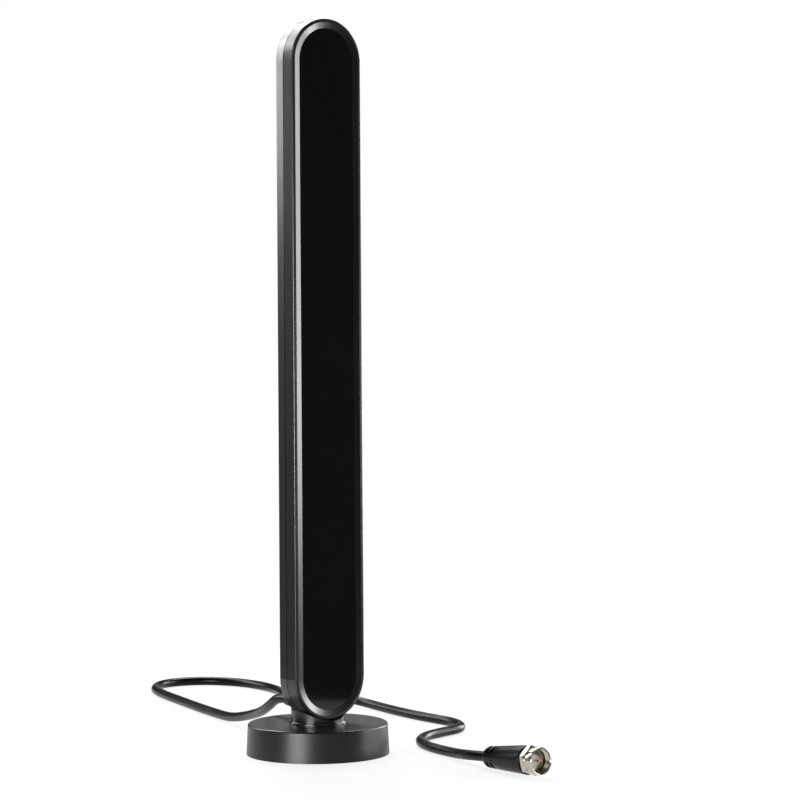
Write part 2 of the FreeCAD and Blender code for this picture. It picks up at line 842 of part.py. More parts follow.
def make_base_plate():
    """Closing disc, edged to the skirt's taper, with its screws sunk in, and the anti-slip pad under it."""
    under = S["pad_thickness"]
    corners = [
        (0, under),
        (skirt_inside(under) - S["plate_gap"], under),
        (skirt_inside(plate_top) - S["plate_gap"], plate_top),
        (0, plate_top),
    ]
    body = revolved("BasePlate", corners)
    through = sketch_on(body, "XY_Plane", S["pad_thickness"])
    circle(through, screw_hole_radius, 0, base_boss_place)
    hole = feature(body, "Pocket", through, S["plate_thickness"], reverse=True)
    sink = sketch_on(body, "XY_Plane", S["pad_thickness"])
    circle(sink, head_radius + S["screw_clearance"], 0, base_boss_place)
    recess = feature(body, "Pocket", sink, S["screw_head_height"], reverse=True)
    repeat(body, [hole, recess], BASE_SCREWS)
    keep(body, "base_plate")

    seat = S["pad_thickness"] + S["screw_head_height"]
    shank = plate_top - seat + S["base_screw_bite"]
    places = []
    for index in range(BASE_SCREWS):
        angle = math.radians(90 + 360 * index / BASE_SCREWS)
        places.append((base_boss_place * math.cos(angle), base_boss_place * math.sin(angle), seat))
    group("base_screws", [screw(place, FLAT, shank) for place in places])

    pad_radius = S["base_bottom_diameter"] / 2 - S["base_wall"] - S["pad_inset"]
    pad = solid("Cylinder", Radius=pad_radius, Height=S["pad_thickness"])
    keep(pad, "foot_pad")


# Cable


def make_sleeve():
    """Rubber strain relief: a core in the neck, a collar on its back and a tapering tail."""
    body = new_body("CableSleeve")
    bore = cable_radius + S["fit_gap"]
    core = cable_radius + S["sleeve_core_wall"]
    collar = cable_radius + S["sleeve_collar_wall"]
    tip = cable_radius + S["sleeve_tip_wall"]
    profile = sketch_on(body, "XZ_Plane")
    corners = [
        (bore, tower_back),
        (core, tower_back),
        (core, sleeve_seat_y),
        (collar, sleeve_seat_y),
        (collar, neck_radius + S["sleeve_seat"]),
        (tip, sleeve_tip_y),
        (bore, sleeve_tip_y),
    ]
    outline(profile, corners)
    feature(body, "Revolution", profile)
    body.Placement = Placement(Vector(0, 0, exit_height.value), BACKWARD)
    bind(body, "Placement.Base.z", exit_height)
    return keep(body, "cable_sleeve")


def elbow(start, corner, end, bend):
    """Two straight runs at right angles, with an arc of the given radius between them."""
    back, ahead = (start - corner).normalize(), (end - corner).normalize()
    entry, leave = corner + back * bend, corner + ahead * bend
    middle = corner + (back + ahead) * bend * (1 - math.sqrt(0.5))
    return [
        Part.LineSegment(start, entry).toShape(),
        Part.Arc(entry, middle, leave).toShape(),
        Part.LineSegment(leave, end).toShape(),
    ]


def make_tail():
    """The cable's end: in through the sleeve, up over the board under its clamp, its bare core bent to the board."""
    y, z = float(tail_y), float(exit_height)
    end = Vector(0, y, float(board_bottom + S["tail_rise"]))
    jacket = elbow(Vector(0, float(sleeve_tip_y), z), Vector(0, y, z), end, float(S["tail_bend"]))
    corner = end + UP * float(S["core_wire_reach"])
    joint = Vector(0, float(board_front), corner.z)
    core = elbow(end, corner, joint, float(S["core_wire_bend"]))
    whole = tube(jacket, S["cable_diameter"]).fuse(tube(core, S["core_wire_diameter"]))
    return shaped("cable_tail", whole)


def make_free_cable():
    """The two free stretches of cable, either side of the hank."""
    leave = (0.0, float(sleeve_tip_y), float(exit_height))
    plug = plug_place()
    lead_in = plug.multVec(Vector(0, 0, -float(S["plug_lead_in"])))
    routes = {
        "cable_near": [leave] + NEAR_ROUTE,
        "cable_far": FAR_ROUTE + [tuple(lead_in), tuple(plug.Base)],
    }
    for label, route in routes.items():
        edges, radii = route_edges(route)
        shaped(label, tube(edges, S["cable_diameter"]))
        length = sum(edge.Length for edge in edges)
        print(label, f"length {length:.0f} mm, radii", [round(radius, 1) for radius in radii])


def make_hank():
    """Outer form of the tied hank, and a tie round each of its two runs."""
    place = Placement(Vector(float(S["hank_x"]), float(S["hank_y"]), 0), Rotation(UP, float(S["hank_turn"]) - 90))
    body = new_body("CableHank")
    thick = S["cable_diameter"] * 2
    inner = S["hank_fold_radius"] - cable_radius
    ring = sketch_on(body, "XY_Plane", S["tie_thickness"])
    stadium(ring, inner + thick, 0, S["hank_run"])
    feature(body, "Pad", ring, thick)
    middle = sketch_on(body, "XY_Plane", S["tie_thickness"])
    stadium(middle, inner, 0, S["hank_run"])
    feature(body, "Pocket", middle, thick, reverse=True)
    body.Placement = place
    keep(body, "cable_hank")

    wrap = S["tie_thickness"]
    start = S["hank_run"] / 2 - S["tie_width"] / 2
    ties = []
    for left in (inner, -(inner + thick)):
        outer_size = thick + wrap * 2
        band = solid("Box", (left - wrap, start, 0), Length=outer_size, Width=S["tie_width"], Height=outer_size)
        way = solid("Box", (left, start, wrap), Length=thick, Width=S["tie_width"], Height=thick)
        ties.append(cut(band, way))
    group("cable_ties", ties).Placement = place


# F plug, modelled along +Z from the cable's entry and then laid on the floor


nut_start = S["boot_length"] + S["shoulder_thickness"] + S["nut_play"]
nut_corner = S["nut_flats"] * (1 / math.sqrt(3))
lip_end = nut_start + S["nut_lip"]
flange_start = lip_end + S["nut_play"]
flange_end = flange_start + S["barrel_flange"]
barrel_radius = S["barrel_diameter"] / 2
barrel_back = S["boot_length"] - S["barrel_depth"]


def plug_place():
    """Tilted as the boot's taper lies, and high enough for the nut's corners to turn clear of the floor."""
    taper = float(S["boot_front_diameter"] - S["boot_rear_diameter"]) / 2
    tilt = math.atan2(taper, float(S["boot_length"]))
    nose = Vector(0, -math.cos(tilt), math.sin(tilt))
    top = Vector(0, math.sin(tilt), math.cos(tilt))
    turn = Rotation(top, nose.cross(top), nose, "ZXY")
    height = float(nut_corner) * math.cos(tilt) - float(nut_start) * math.sin(tilt)
    return Placement(Vector(float(S["plug_x"]), float(S["plug_y"]), height), turn)


def revolved(name, corners):
    """A turned plug piece from its half section."""
    body = new_body(name)
    profile = sketch_on(body, "XZ_Plane")
    outline(profile, corners)
    feature(body, "Revolution", profile)
    return body


def make_boot():
    """Moulded boot, tapering to the cable, with two rows of flex slots above and below."""
    front, rear = S["boot_front_diameter"] / 2, S["boot_rear_diameter"] / 2
    corners = [
        (0, 0),
        (rear, 0),
        (front, S["boot_length"]),
        (barrel_radius + S["fit_gap"], S["boot_length"]),
        (barrel_radius + S["fit_gap"], barrel_back),
        (0, barrel_back),
    ]
    body = revolved("PlugBoot", corners)
    round_edges(body, S["boot_rear_round"], lies_at("Z", 0))
    round_edges(body, S["boot_front_round"], lies_at("Z", S["boot_length"], front))
    slots = []
    for row in range(2):
        low = S["slot_start"] + S["slot_pitch"] * row
        floor = rear + (front - rear) * low / S["boot_length"] - S["slot_depth"]
        section = sketch_on(body, "XZ_Plane")
        outside = front + S["slot_depth"]
        outline(
            section,
            [(floor, low), (outside, low), (outside, low + S["slot_width"]), (floor, low + S["slot_width"])],
        )
        slot = feature(body, "Groove", section, Midplane=True)
        bind(slot, "Angle", S["slot_sweep"])
        slots.append(slot)
    repeat(body, slots, 2)
    body.Placement = plug_place()
    return keep(body, "plug_boot")


def make_barrel():
    """Metal sleeve in the boot, its shoulder and the flange that keeps the nut on; insulator and pin."""
    bore = S["insulator_diameter"] / 2 + S["fit_gap"]
    shoulder_end = S["boot_length"] + S["shoulder_thickness"]
    corners = [
        (bore, barrel_back),
        (barrel_radius, barrel_back),
        (barrel_radius, S["boot_length"]),
        (S["shoulder_diameter"] / 2, S["boot_length"]),
        (S["shoulder_diameter"] / 2, shoulder_end),
        (barrel_radius, shoulder_end),
        (barrel_radius, flange_start),
        (barrel_radius + S["flange_reach"], flange_start),
        (barrel_radius + S["flange_reach"], flange_end),
        (bore, flange_end),
    ]
    body = revolved("PlugBody", corners)
    body.Placement = plug_place()
    keep(body, "plug_body")

    back = flange_end - S["insulator_depth"]
    pin = S["pin_diameter"] / 2
    pin_hole, outside = pin + S["fit_gap"], S["insulator_diameter"] / 2
    corners = [(pin_hole, back), (outside, back), (outside, flange_end), (pin_hole, flange_end)]
    insulator = revolved("PlugInsulator", corners)
    insulator.Placement = plug_place()
    keep(insulator, "plug_insulator")

    tip = flange_end + S["pin_reach"]
    wire = revolved("PlugPin", [(0, back), (pin, back), (pin, tip - pin), (pin / 2, tip), (0, tip)])
    wire.Placement = plug_place()
    keep(wire, "plug_pin")


def make_nut():
    """Hexagon nut with a round collar in front, running on the sleeve between shoulder and flange."""
    body = new_body("CouplingNut")
    flat = S["nut_flats"] / 2
    hexagon = sketch_on(body, "XY_Plane", nut_start)
    corners = []
    for index in range(6):
        angle = math.radians(float(S["nut_turn"]) + 60 * index)
        corners.append((nut_corner * math.cos(angle), nut_corner * math.sin(angle)))
    outline(hexagon, corners)
    feature(body, "Pad", hexagon, S["nut_hex_length"])

    hex_end = nut_start + S["nut_hex_length"]
    beyond = nut_corner + S["nut_chamfer"]
    rise = (beyond - flat) / math.sqrt(3)
    for end, slope in ((nut_start, rise), (hex_end, -rise)):
        bevel = sketch_on(body, "XZ_Plane")
        outline(bevel, [(flat, end), (beyond, end), (beyond, end + slope)])
        feature(body, "Groove", bevel)

    collar = sketch_on(body, "XY_Plane", hex_end)
    circle(collar, S["nut_collar_diameter"] / 2)
    feature(body, "Pad", collar, S["nut_collar_length"])
    nose = hex_end + S["nut_collar_length"]

    mouth = sketch_on(body, "XY_Plane", nose)
    circle(mouth, barrel_radius + S["flange_reach"] + S["nut_thread_gap"])
    feature(body, "Pocket", mouth, nose - lip_end)
    way = sketch_on(body, "XY_Plane", nose)
    circle(way, barrel_radius + S["nut_clearance"])
    feature(body, "Pocket", way, nose - nut_start)
    body.Placement = plug_place()
    return keep(body, "coupling_nut")


def build():
    make_front_shell()
    make_front_panel()
    make_rear_shell()
    make_board()
    make_radiator()
    make_transformer()
    make_clamp()
    make_neck()
    make_base_cover()
    make_ballast()
    make_base_plate()
    make_sleeve()
    make_tail()
    make_free_cable()
    make_hank()
    make_boot()
    make_barrel()
    make_nut()
    doc.recompute()


def check():
    """Stop if any object failed or any sub-part has no valid solid."""
    failed = [obj.Name for obj in doc.Objects if {"Invalid", "Error"} & set(obj.State)]
    failed += [n.Label for n in nodes if n.Shape.isNull() or not n.Shape.isValid() or not n.Shape.Solids]
    if failed:
        raise RuntimeError(f"failed: {failed}")


def export():
    os.makedirs("parts", exist_ok=True)
    for node in nodes:
        node.Shape.exportStep(f"parts/{node.Label}.step")


build()
check()
export()
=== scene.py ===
"""Indoor radio antenna: a slim black tower on a round weighted base, with its coaxial lead and F plug.

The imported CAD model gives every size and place. This script dresses it: moulded, plated and extruded
finishes, the limp cable as one smooth curve, the tied hank, and the studio round it.
"""
import json
import math

import bmesh
import bpy
from mathutils import Matrix, Vector


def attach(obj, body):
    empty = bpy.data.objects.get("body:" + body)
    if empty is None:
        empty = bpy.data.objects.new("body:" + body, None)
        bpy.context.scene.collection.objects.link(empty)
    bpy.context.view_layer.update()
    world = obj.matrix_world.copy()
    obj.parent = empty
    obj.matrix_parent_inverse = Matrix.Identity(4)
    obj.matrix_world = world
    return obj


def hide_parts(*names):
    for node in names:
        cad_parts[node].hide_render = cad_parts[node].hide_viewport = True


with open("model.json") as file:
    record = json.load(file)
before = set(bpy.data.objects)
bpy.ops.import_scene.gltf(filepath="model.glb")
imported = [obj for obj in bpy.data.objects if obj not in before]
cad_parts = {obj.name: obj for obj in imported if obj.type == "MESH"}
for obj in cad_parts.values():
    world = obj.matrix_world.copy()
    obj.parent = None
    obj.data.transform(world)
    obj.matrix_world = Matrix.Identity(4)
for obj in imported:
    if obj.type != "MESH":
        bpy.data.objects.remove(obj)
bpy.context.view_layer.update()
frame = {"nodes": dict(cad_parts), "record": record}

MM = 0.001
NODES = frame["nodes"]

# Several sockets of the Mix node share a name, so its colour mix goes by their numbers.
MIX_SHARE, MIX_FIRST, MIX_SECOND, MIX_COLOUR = 0, 6, 7, 2
# Most of a noise texture lies between these two values.
NOISE_LOW, NOISE_HIGH = 0.3, 0.7


def linear(code):
    """An sRGB hex colour as the linear values that a shader takes."""
    parts = [int(code[i:i + 2], 16) / 255 for i in (1, 3, 5)]
    return tuple(c / 12.92 if c <= 0.04045 else ((c + 0.055) / 1.055) ** 2.4 for c in parts) + (1.0,)


def add_node(tree, kind, inputs=None, **settings):
    """Add one node. An input takes a value, or the output socket of another node."""
    node = tree.nodes.new(kind)
    for name, value in settings.items():
        setattr(node, name, value)
    for socket, value in (inputs or {}).items():
        if isinstance(value, bpy.types.NodeSocket):
            tree.links.new(value, node.inputs[socket])
        else:
            node.inputs[socket].default_value = value
    return node


def finish(name, dark, light, grain, depth, gloss, drift, **sockets):
    """A surface with a fine grain in its bump, whose colour and gloss drift over a longer span.

    dark and light are the two ends of its colour, gloss the two ends of its roughness. The grain's size
    and depth and the drift's span are in mm. What else is given goes on the shader's own sockets.
    """
    material = bpy.data.materials.new(name)
    material.use_nodes = True
    tree = material.node_tree
    tree.nodes.clear()
    where = add_node(tree, "ShaderNodeTexCoord").outputs["Object"]
    fine = add_node(tree, "ShaderNodeTexNoise",
                    {"Vector": where, "Scale": 1 / (grain * MM), "Detail": 2.0})
    long = add_node(tree, "ShaderNodeTexNoise",
                    {"Vector": where, "Scale": 1 / (drift * MM), "Detail": 3.0})
    colour = add_node(tree, "ShaderNodeMix",
                      {MIX_SHARE: long.outputs["Fac"], MIX_FIRST: linear(dark),
                       MIX_SECOND: linear(light)}, data_type="RGBA")
    rough = add_node(tree, "ShaderNodeMapRange",
                     {"Value": long.outputs["Fac"], "From Min": NOISE_LOW, "From Max": NOISE_HIGH,
                      "To Min": gloss[0], "To Max": gloss[1]})
    bump = add_node(tree, "ShaderNodeBump",
                    {"Height": fine.outputs["Fac"], "Distance": depth * MM, "Strength": 1.0})
    constants = {socket.replace("_", " "): value for socket, value in sockets.items()}
    shader = add_node(tree, "ShaderNodeBsdfPrincipled",
                      {"Base Color": colour.outputs[MIX_COLOUR], "Roughness": rough.outputs["Result"],
                       "Normal": bump.outputs["Normal"], **constants})
    add_node(tree, "ShaderNodeOutputMaterial", {"Surface": shader.outputs["BSDF"]})
    return material


# Satin moulded ABS: near black with soft-edged highlights. Its spark-eroded grain is finer than the
# 0.35 mm drawn here, which is as coarse as it needs to show.
moulded_abs = finish("moulded_satin_abs", "#0b0b0c", "#0e0e0f", 0.35, 0.002, (0.22, 0.25), 30.0,
                     IOR=1.54)
# Grained moulded ABS of the heavy base: the same black with a coarser grain, which spreads its
# highlights wide and soft and weakens what it mirrors.
grained_abs = finish("moulded_grained_abs", "#0b0b0c", "#0e0e0f", 0.5, 0.004, (0.32, 0.36), 30.0,
                     IOR=1.54, Specular_IOR_Level=0.32)
# Gloss acrylic inlay: a deeper black than the casing, and a clear mirror of the dim room.
gloss_acrylic = finish("gloss_black_acrylic", "#070708", "#09090a", 2.5, 0.001, (0.06, 0.08), 14.0,
                       IOR=1.49, Specular_IOR_Level=0.4)
# Extruded PVC jacket: satin black with weak highlights, faintly rubbed dull and shiny along it.
cable_pvc = finish("extruded_pvc_jacket", "#060607", "#090909", 0.5, 0.008, (0.26, 0.32), 6.0,
                   IOR=1.53, Specular_IOR_Level=0.13)
# Soft moulded PVC: about the jacket's black, a little duller, with a fine grain.
boot_pvc = finish("moulded_soft_pvc", "#070708", "#0a0a0b", 0.4, 0.008, (0.30, 0.36), 5.0,
                  IOR=1.53, Specular_IOR_Level=0.17)
# Nickel plate on turned brass: a warm grey mirror, slightly soft.
nickel = finish("nickel_plated_brass", "#b5aea2", "#c5beb2", 0.4, 0.004, (0.16, 0.24), 3.0,
                Metallic=1.0)
# Bare copper: salmon metal, dulled unevenly by air.
copper = finish("bare_copper", "#c79a7c", "#d8b092", 0.3, 0.006, (0.22, 0.36), 2.0, Metallic=1.0)
# Polyethylene: milky white, waxy.
polyethylene = finish("milky_polyethylene", "#d6d2c4", "#e3dfd3", 0.3, 0.01, (0.38, 0.5), 2.0)
# Black moulded nylon: satin, a little greyer than the jacket, with stronger highlights.
black_nylon = finish("moulded_black_nylon", "#0e0e0f", "#141415", 0.4, 0.008, (0.32, 0.42), 4.0)
# Natural nylon: cream and satin, with soft clouding.
natural_nylon = finish("moulded_natural_nylon", "#cfc8b4", "#dcd6c6", 0.4, 0.01, (0.36, 0.46), 4.0)
# Glass-fibre laminate under green solder mask: glossy lacquer, faintly uneven over the glass cloth.
laminate = finish("green_masked_laminate", "#14502a", "#1f6a39", 0.9, 0.02, (0.2, 0.32), 5.0)
# Sintered ferrite: dark grey ceramic, matt with a fine grain.
ferrite = finish("sintered_ferrite", "#2c2c2f", "#3a3a3d", 0.25, 0.02, (0.5, 0.65), 2.0)
# Zinc-plated steel: bluish bright metal.
zinc_steel = finish("zinc_plated_steel", "#a9adb2", "#bfc3c7", 0.3, 0.006, (0.25, 0.38), 2.0,
                    Metallic=1.0)
# Punched mild steel: dull grey metal, faintly mottled.
mild_steel = finish("punched_mild_steel", "#7c7c7d", "#929293", 0.6, 0.01, (0.4, 0.55), 9.0,
                    Metallic=1.0)
# Foam rubber: dead matt black with open pores.
foam_rubber = finish("black_foam_rubber", "#0a0a0a", "#121212", 0.6, 0.15, (0.8, 0.95), 3.0)

FINISH_OF = {
    "casing": moulded_abs, "panel": gloss_acrylic, "cable_jacket": cable_pvc, "boot_rubber": boot_pvc,
    "nickel": nickel, "copper": copper, "insulator": polyethylene, "tie_nylon": black_nylon,
    "clamp_nylon": natural_nylon, "laminate": laminate, "ferrite": ferrite, "screw_steel": zinc_steel,
    "ballast_steel": mild_steel, "foot_rubber": foam_rubber,
}
for subpart in frame["record"]["subparts"]:
    slots = NODES[subpart["node"]].data.materials
    slots.clear()
    slots.append(FINISH_OF[subpart["material_slot"]])
NODES["base_cover"].data.materials[0] = grained_abs


# The cable lies where its CAD tubes and hank are. Points in mm.
CABLE_RADIUS = 2.1
FROM_SLEEVE = [
    (0, 21.5, 20.8), (0, 28.5, 20.8), (2.4, 38, 16.3), (6.6, 49.5, 12), (12, 63, 8.8), (17, 79, 5.4),
    (21, 95, 2.8), (25.5, 112, 2.15), (30.5, 135, 2.2), (37, 160, 2.15), (43, 184, 2.15),
    (50.5, 205.5, 2.15), (66, 219.5, 2.15), (85, 216.5, 2.15), (96, 200.5, 2.15), (98, 180, 2.15),
    (94.3, 162.2, 2.3), (87.1, 147.5, 2.8),
]
TO_PLUG = [
    (84.3, 125.4, 7.5), (98, 102, 2.9), (95.8, 79, 2.15), (92.4, 57, 2.15), (91.2, 37, 2.15),
    (91.4, 19.8, 2.15), (83.4, 4.8, 2.15), (68, 1.2, 2.15), (53.7, -4, 2.15), (43.4, -14, 2.15),
    (38, -27.5, 2.15), (36, -40.5, 2.15), (33.6, -53, 2.6), (30, -64.53, 3.81), (30, -76.5, 4.6),
]
HANK_NEAR = Vector((99.3, 132.9, 0))
HANK_ALONG = Vector((0.616, 0.788, 0))
HANK_ACROSS = Vector((0.788, -0.616, 0))
HANK_RUN = 56
HANK_STATIONS = (10, 28, 46)
# A fold is half a turn of points. The last one stops early, where the cable leaves.
FOLD_STEP = math.radians(30)
FOLD_POINTS = 6
LEAVING_POINTS = 2
# A turn's place in the hank: how far out from its middle line, and how high.
OUTER_TOP, INNER_TOP = (16.8, 7.1), (12.6, 7.1)
INNER_LOW, OUTER_LOW = (12.6, 2.9), (16.8, 2.9)
# How finely the cable is divided along each span of its line, and round its skin.
SPAN_STEPS = 6
SKIN_STEPS = 6


def hank_fold(end, slot, count=FOLD_POINTS):
    """Points round one end of the hank: end -1 is the near fold, +1 the far one."""
    radius = slot[0] / math.cos(FOLD_STEP / 2)
    centre = HANK_NEAR + HANK_ALONG * (HANK_RUN if end > 0 else 0)
    points = []
    for step in range(count):
        turn = (step + 0.5) * FOLD_STEP
        spot = centre + (HANK_ACROSS * math.cos(turn) + HANK_ALONG * math.sin(turn)) * radius * end
        points.append((spot.x, spot.y, slot[1]))
    return points


def hank_run(side, slots):
    """Points along one straight run: side +1 goes out on the right, -1 comes back on the left."""
    points = []
    for station, (across, height) in zip(HANK_STATIONS[::side], slots):
        spot = HANK_NEAR + HANK_ALONG * station + HANK_ACROSS * across * side
        points.append((spot.x, spot.y, height))
    return points


def hank_turns():
    """Three turns, two wide and two high, each settling beside the one before it."""
    out = [[OUTER_LOW] * 3, [INNER_LOW] * 3, [INNER_TOP, INNER_TOP, OUTER_TOP]]
    back = [[OUTER_LOW, OUTER_LOW, INNER_LOW], [INNER_LOW, INNER_TOP, INNER_TOP], [OUTER_TOP] * 3]
    points = []
    for leaving, coming in zip(out, back):
        points += hank_fold(-1, leaving[0]) + hank_run(1, leaving)
        points += hank_fold(1, leaving[2]) + hank_run(-1, coming)
    return points + hank_fold(-1, OUTER_TOP, LEAVING_POINTS)


def lay_cable():
    """One limp round cable on one smooth curve, from the sleeve through the hank to the plug."""
    route = FROM_SLEEVE + hank_turns() + TO_PLUG
    line = bpy.data.curves.new("cable", "CURVE")
    line.dimensions = "3D"
    spline = line.splines.new("NURBS")
    spline.points.add(len(route) - 1)
    for point, spot in zip(spline.points, route):
        point.co = (spot[0] * MM, spot[1] * MM, spot[2] * MM, 1)
    spline.order_u = 3
    spline.use_endpoint_u = True
    spline.resolution_u = SPAN_STEPS
    line.bevel_depth = CABLE_RADIUS * MM
    line.bevel_resolution = SKIN_STEPS
    line.use_fill_caps = True
    line.materials.append(cable_pvc)
    cable = bpy.data.objects.new("cable", line)
    bpy.context.collection.objects.link(cable)
    return cable


# How the new pieces are modelled. Lengths in mm, angles in radians.
LATHE_STEPS = 120
WELD = 0.001
NEAR = 0.01
NEARLY_ALONG = 0.9
SHADE_ANGLE = math.radians(32)


def pick(kind, wanted):
    """In edit mode, select only the faces or edges that are wanted."""
    bpy.ops.mesh.select_mode(type={"faces": "FACE", "edges": "EDGE"}[kind])
    bpy.ops.mesh.select_all(action="DESELECT")
    mesh = bpy.context.object.data
    shape = bmesh.from_edit_mesh(mesh)
    for part in getattr(shape, kind):
        if wanted(part):
            part.select_set(True)
    shape.select_flush_mode()
    bmesh.update_edit_mesh(mesh)


def middle_of(part):
    """The middle of a face or an edge, in mm."""
    return sum((corner.co for corner in part.verts), Vector()) / len(part.verts) / MM


def is_level(part, height):
    """Whether all corners of a face or an edge lie at that height in mm."""
    return all(abs(corner.co.z / MM - height) < NEAR for corner in part.verts)


def direction_of(edge):
    """The direction that an edge runs in."""
    return (edge.verts[0].co - edge.verts[1].co).normalized()


def draw_profile(name, profile):
    """Start a piece from one point, and draw its profile of (radius, height) in mm on from there."""
    bpy.ops.object.select_all(action="DESELECT")
    bpy.ops.mesh.primitive_plane_add(size=MM)
    piece = bpy.context.object
    piece.name = name
    bpy.ops.object.mode_set(mode="EDIT")
    bpy.ops.mesh.select_mode(type="VERT")
    bpy.ops.mesh.merge(type="CENTER")
    bpy.ops.transform.translate(value=(profile[0][0] * MM, 0, profile[0][1] * MM))
    for (from_radius, from_height), (radius, height) in zip(profile, profile[1:] + profile[:1]):
        step = ((radius - from_radius) * MM, 0, (height - from_height) * MM)
        bpy.ops.mesh.extrude_region_move(TRANSFORM_OT_translate={"value": step})
    bpy.ops.mesh.select_all(action="SELECT")
    bpy.ops.mesh.remove_doubles(threshold=WELD * MM)
    return piece


def turn_on_lathe(name, profile):
    """Spin a closed profile about Z, and leave the piece in edit mode."""
    piece = draw_profile(name, profile)
    bpy.ops.mesh.spin(steps=LATHE_STEPS, angle=math.tau, center=(0, 0, 0), axis=(0, 0, 1))
    bpy.ops.mesh.select_all(action="SELECT")
    bpy.ops.mesh.remove_doubles(threshold=WELD * MM)
    bpy.ops.mesh.normals_make_consistent(inside=False)
    return piece


def apply_modifier(kind, **settings):
    """Give the active piece one modifier and apply it."""
    modifier = bpy.context.object.modifiers.new(kind.lower(), kind)
    for setting, value in settings.items():
        setattr(modifier, setting, value)
    bpy.ops.object.modifier_apply(modifier=modifier.name)


def settle(piece, place, material, body, node):
    """Put a finished piece in its place, shade it, give it its material and its body, and hide the CAD
    part that it stands in for.
    """
    bpy.ops.object.select_all(action="DESELECT")
    piece.select_set(True)
    bpy.context.view_layer.objects.active = piece
    piece.matrix_world = place
    bpy.ops.object.transform_apply(location=True, rotation=True, scale=True)
    bpy.ops.object.shade_smooth_by_angle(angle=SHADE_ANGLE)
    piece.data.materials.clear()
    piece.data.materials.append(material)
    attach(piece, body)
    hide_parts(node)


# The plug points along its mount. In its own frame Z runs along it from the boot's rear, X is up.
PLUG_LENGTH = 33.2

# The boot tapers to its rear, where two slots above and below let it flex. Its bore is stepped: the
# cable's at the rear, the metal sleeve's in front. A slot's floor is a share of the outside radius, and
# an edge that turns by more than a fold is a sharp one.
BOOT_LENGTH = 25.8
BOOT_REAR, BOOT_FRONT = 4.3, 6.0
BOOT_RINGS = (12, 19)
BOOT_OUTSIDE = 4
CABLE_BORE, SLEEVE_BORE = 2.08, 3.53
BORE_STEP = 15.8
REAR_ROUNDING, FRONT_ROUNDING = 2.2, 0.6
END_FOLD = 1.0
SLOT_EDGES = (3.0, 4.4, 5.9, 7.3)
SLOT_HALF_ARC = math.radians(66)
SLOT_FLOOR = 0.785
SLOT_MARGIN = 0.1
SLOT_ROUNDING = 0.18
SLOT_FOLD = 0.8

# The nut's hexagon is a turned blank with six flats milled on it. Points are (radius, height).
HEX_START, HEX_END = 26.4, 28.8
HEX_FLAT = 5.5
HEX_TURN = math.radians(40)
HEX_BLANK = 6.36
HEX_SHOULDER = 5.42
HEX_FALL = (HEX_BLANK - HEX_SHOULDER) / math.sqrt(3)
HEX_CORNER = 6.2
HEX_FOLD = 0.3
HEX_ROUNDING = 0.12
SLEEVE_HOLE = 3.55
NUT_HEXAGON = [
    (SLEEVE_HOLE, HEX_START), (HEX_SHOULDER, HEX_START), (HEX_BLANK, HEX_START + HEX_FALL),
    (HEX_BLANK, HEX_END - HEX_FALL), (HEX_SHOULDER, HEX_END),
]
NUT_COLLAR = [
    (5.44, 28.92), (5.56, 29.04), (5.6, 29.2), (5.6, 32.8), (5.56, 33.02), (5.46, 33.16),
    (5.32, 33.2), (5.2, 33.16), (5.1, 33.04),
]
NUT_BORE = [
    (4.84, 32.4), (4.77, 32.1), (4.77, 28.9), (4.45, 28.6), (4.45, 28.4), (SLEEVE_HOLE, 28.4),
]
THREAD_RIDGE = [(4.8, 29.6), (4.48, 29.88), (4.48, 29.96), (4.8, 30.24)]
THREAD_PITCH = 0.794
THREAD_TURNS = 3
THREAD_STEPS = 72


def plug_place():
    """The plug's frame in the part, from the record's mount."""
    mount = next(m for m in frame["record"]["mounts"] if m["name"] == "f_plug")
    along = Vector(mount["axis"]).normalized()
    across = along.cross(Vector((0, 0, 1))).normalized()
    place = Matrix((across.cross(along), across, along)).transposed().to_4x4()
    place.translation = Vector(mount["pos_m"]) - along * PLUG_LENGTH * MM
    return place


def in_flex_slot(face):
    """Whether a face of the boot's outside lies where a slot goes."""
    spot = middle_of(face)
    level = SLOT_EDGES[0] < spot.z < SLOT_EDGES[1] or SLOT_EDGES[2] < spot.z < SLOT_EDGES[3]
    turn = math.atan2(abs(spot.y), abs(spot.x))
    return level and spot.xy.length > BOOT_OUTSIDE and turn < SLOT_HALF_ARC


def on_slot_rim(edge):
    """Whether an edge of the boot is a sharp one round a slot's mouth."""
    spot = middle_of(edge)
    level = SLOT_EDGES[0] - SLOT_MARGIN < spot.z < SLOT_EDGES[3] + SLOT_MARGIN
    return level and spot.xy.length > BOOT_REAR and edge.calc_face_angle(0) > SLOT_FOLD


def make_boot():
    """The moulded boot: a tapered sleeve with round ends and two flex slots above and below."""
    slope = (BOOT_FRONT - BOOT_REAR) / BOOT_LENGTH
    heights = (0, *SLOT_EDGES, *BOOT_RINGS, BOOT_LENGTH)
    outside = [(BOOT_REAR + slope * height, height) for height in heights]
    bore = [(SLEEVE_BORE, BOOT_LENGTH), (SLEEVE_BORE, BORE_STEP), (CABLE_BORE, BORE_STEP)]
    boot = turn_on_lathe("boot", [(CABLE_BORE, 0), *outside, *bore])
    for height, rounding in ((0, REAR_ROUNDING), (BOOT_LENGTH, FRONT_ROUNDING)):
        pick("edges", lambda edge: is_level(edge, height) and middle_of(edge).xy.length > BOOT_OUTSIDE
             and edge.calc_face_angle(0) > END_FOLD)
        bpy.ops.mesh.bevel(offset=rounding * MM, segments=8, affect="EDGES")
    pick("faces", in_flex_slot)
    bpy.ops.mesh.extrude_region_move()
    bpy.ops.transform.resize(value=(SLOT_FLOOR, SLOT_FLOOR, 1), center_override=(0, 0, 0))
    pick("edges", on_slot_rim)
    bpy.ops.mesh.bevel(offset=SLOT_ROUNDING * MM, segments=3, affect="EDGES")
    bpy.ops.object.mode_set(mode="OBJECT")
    return boot


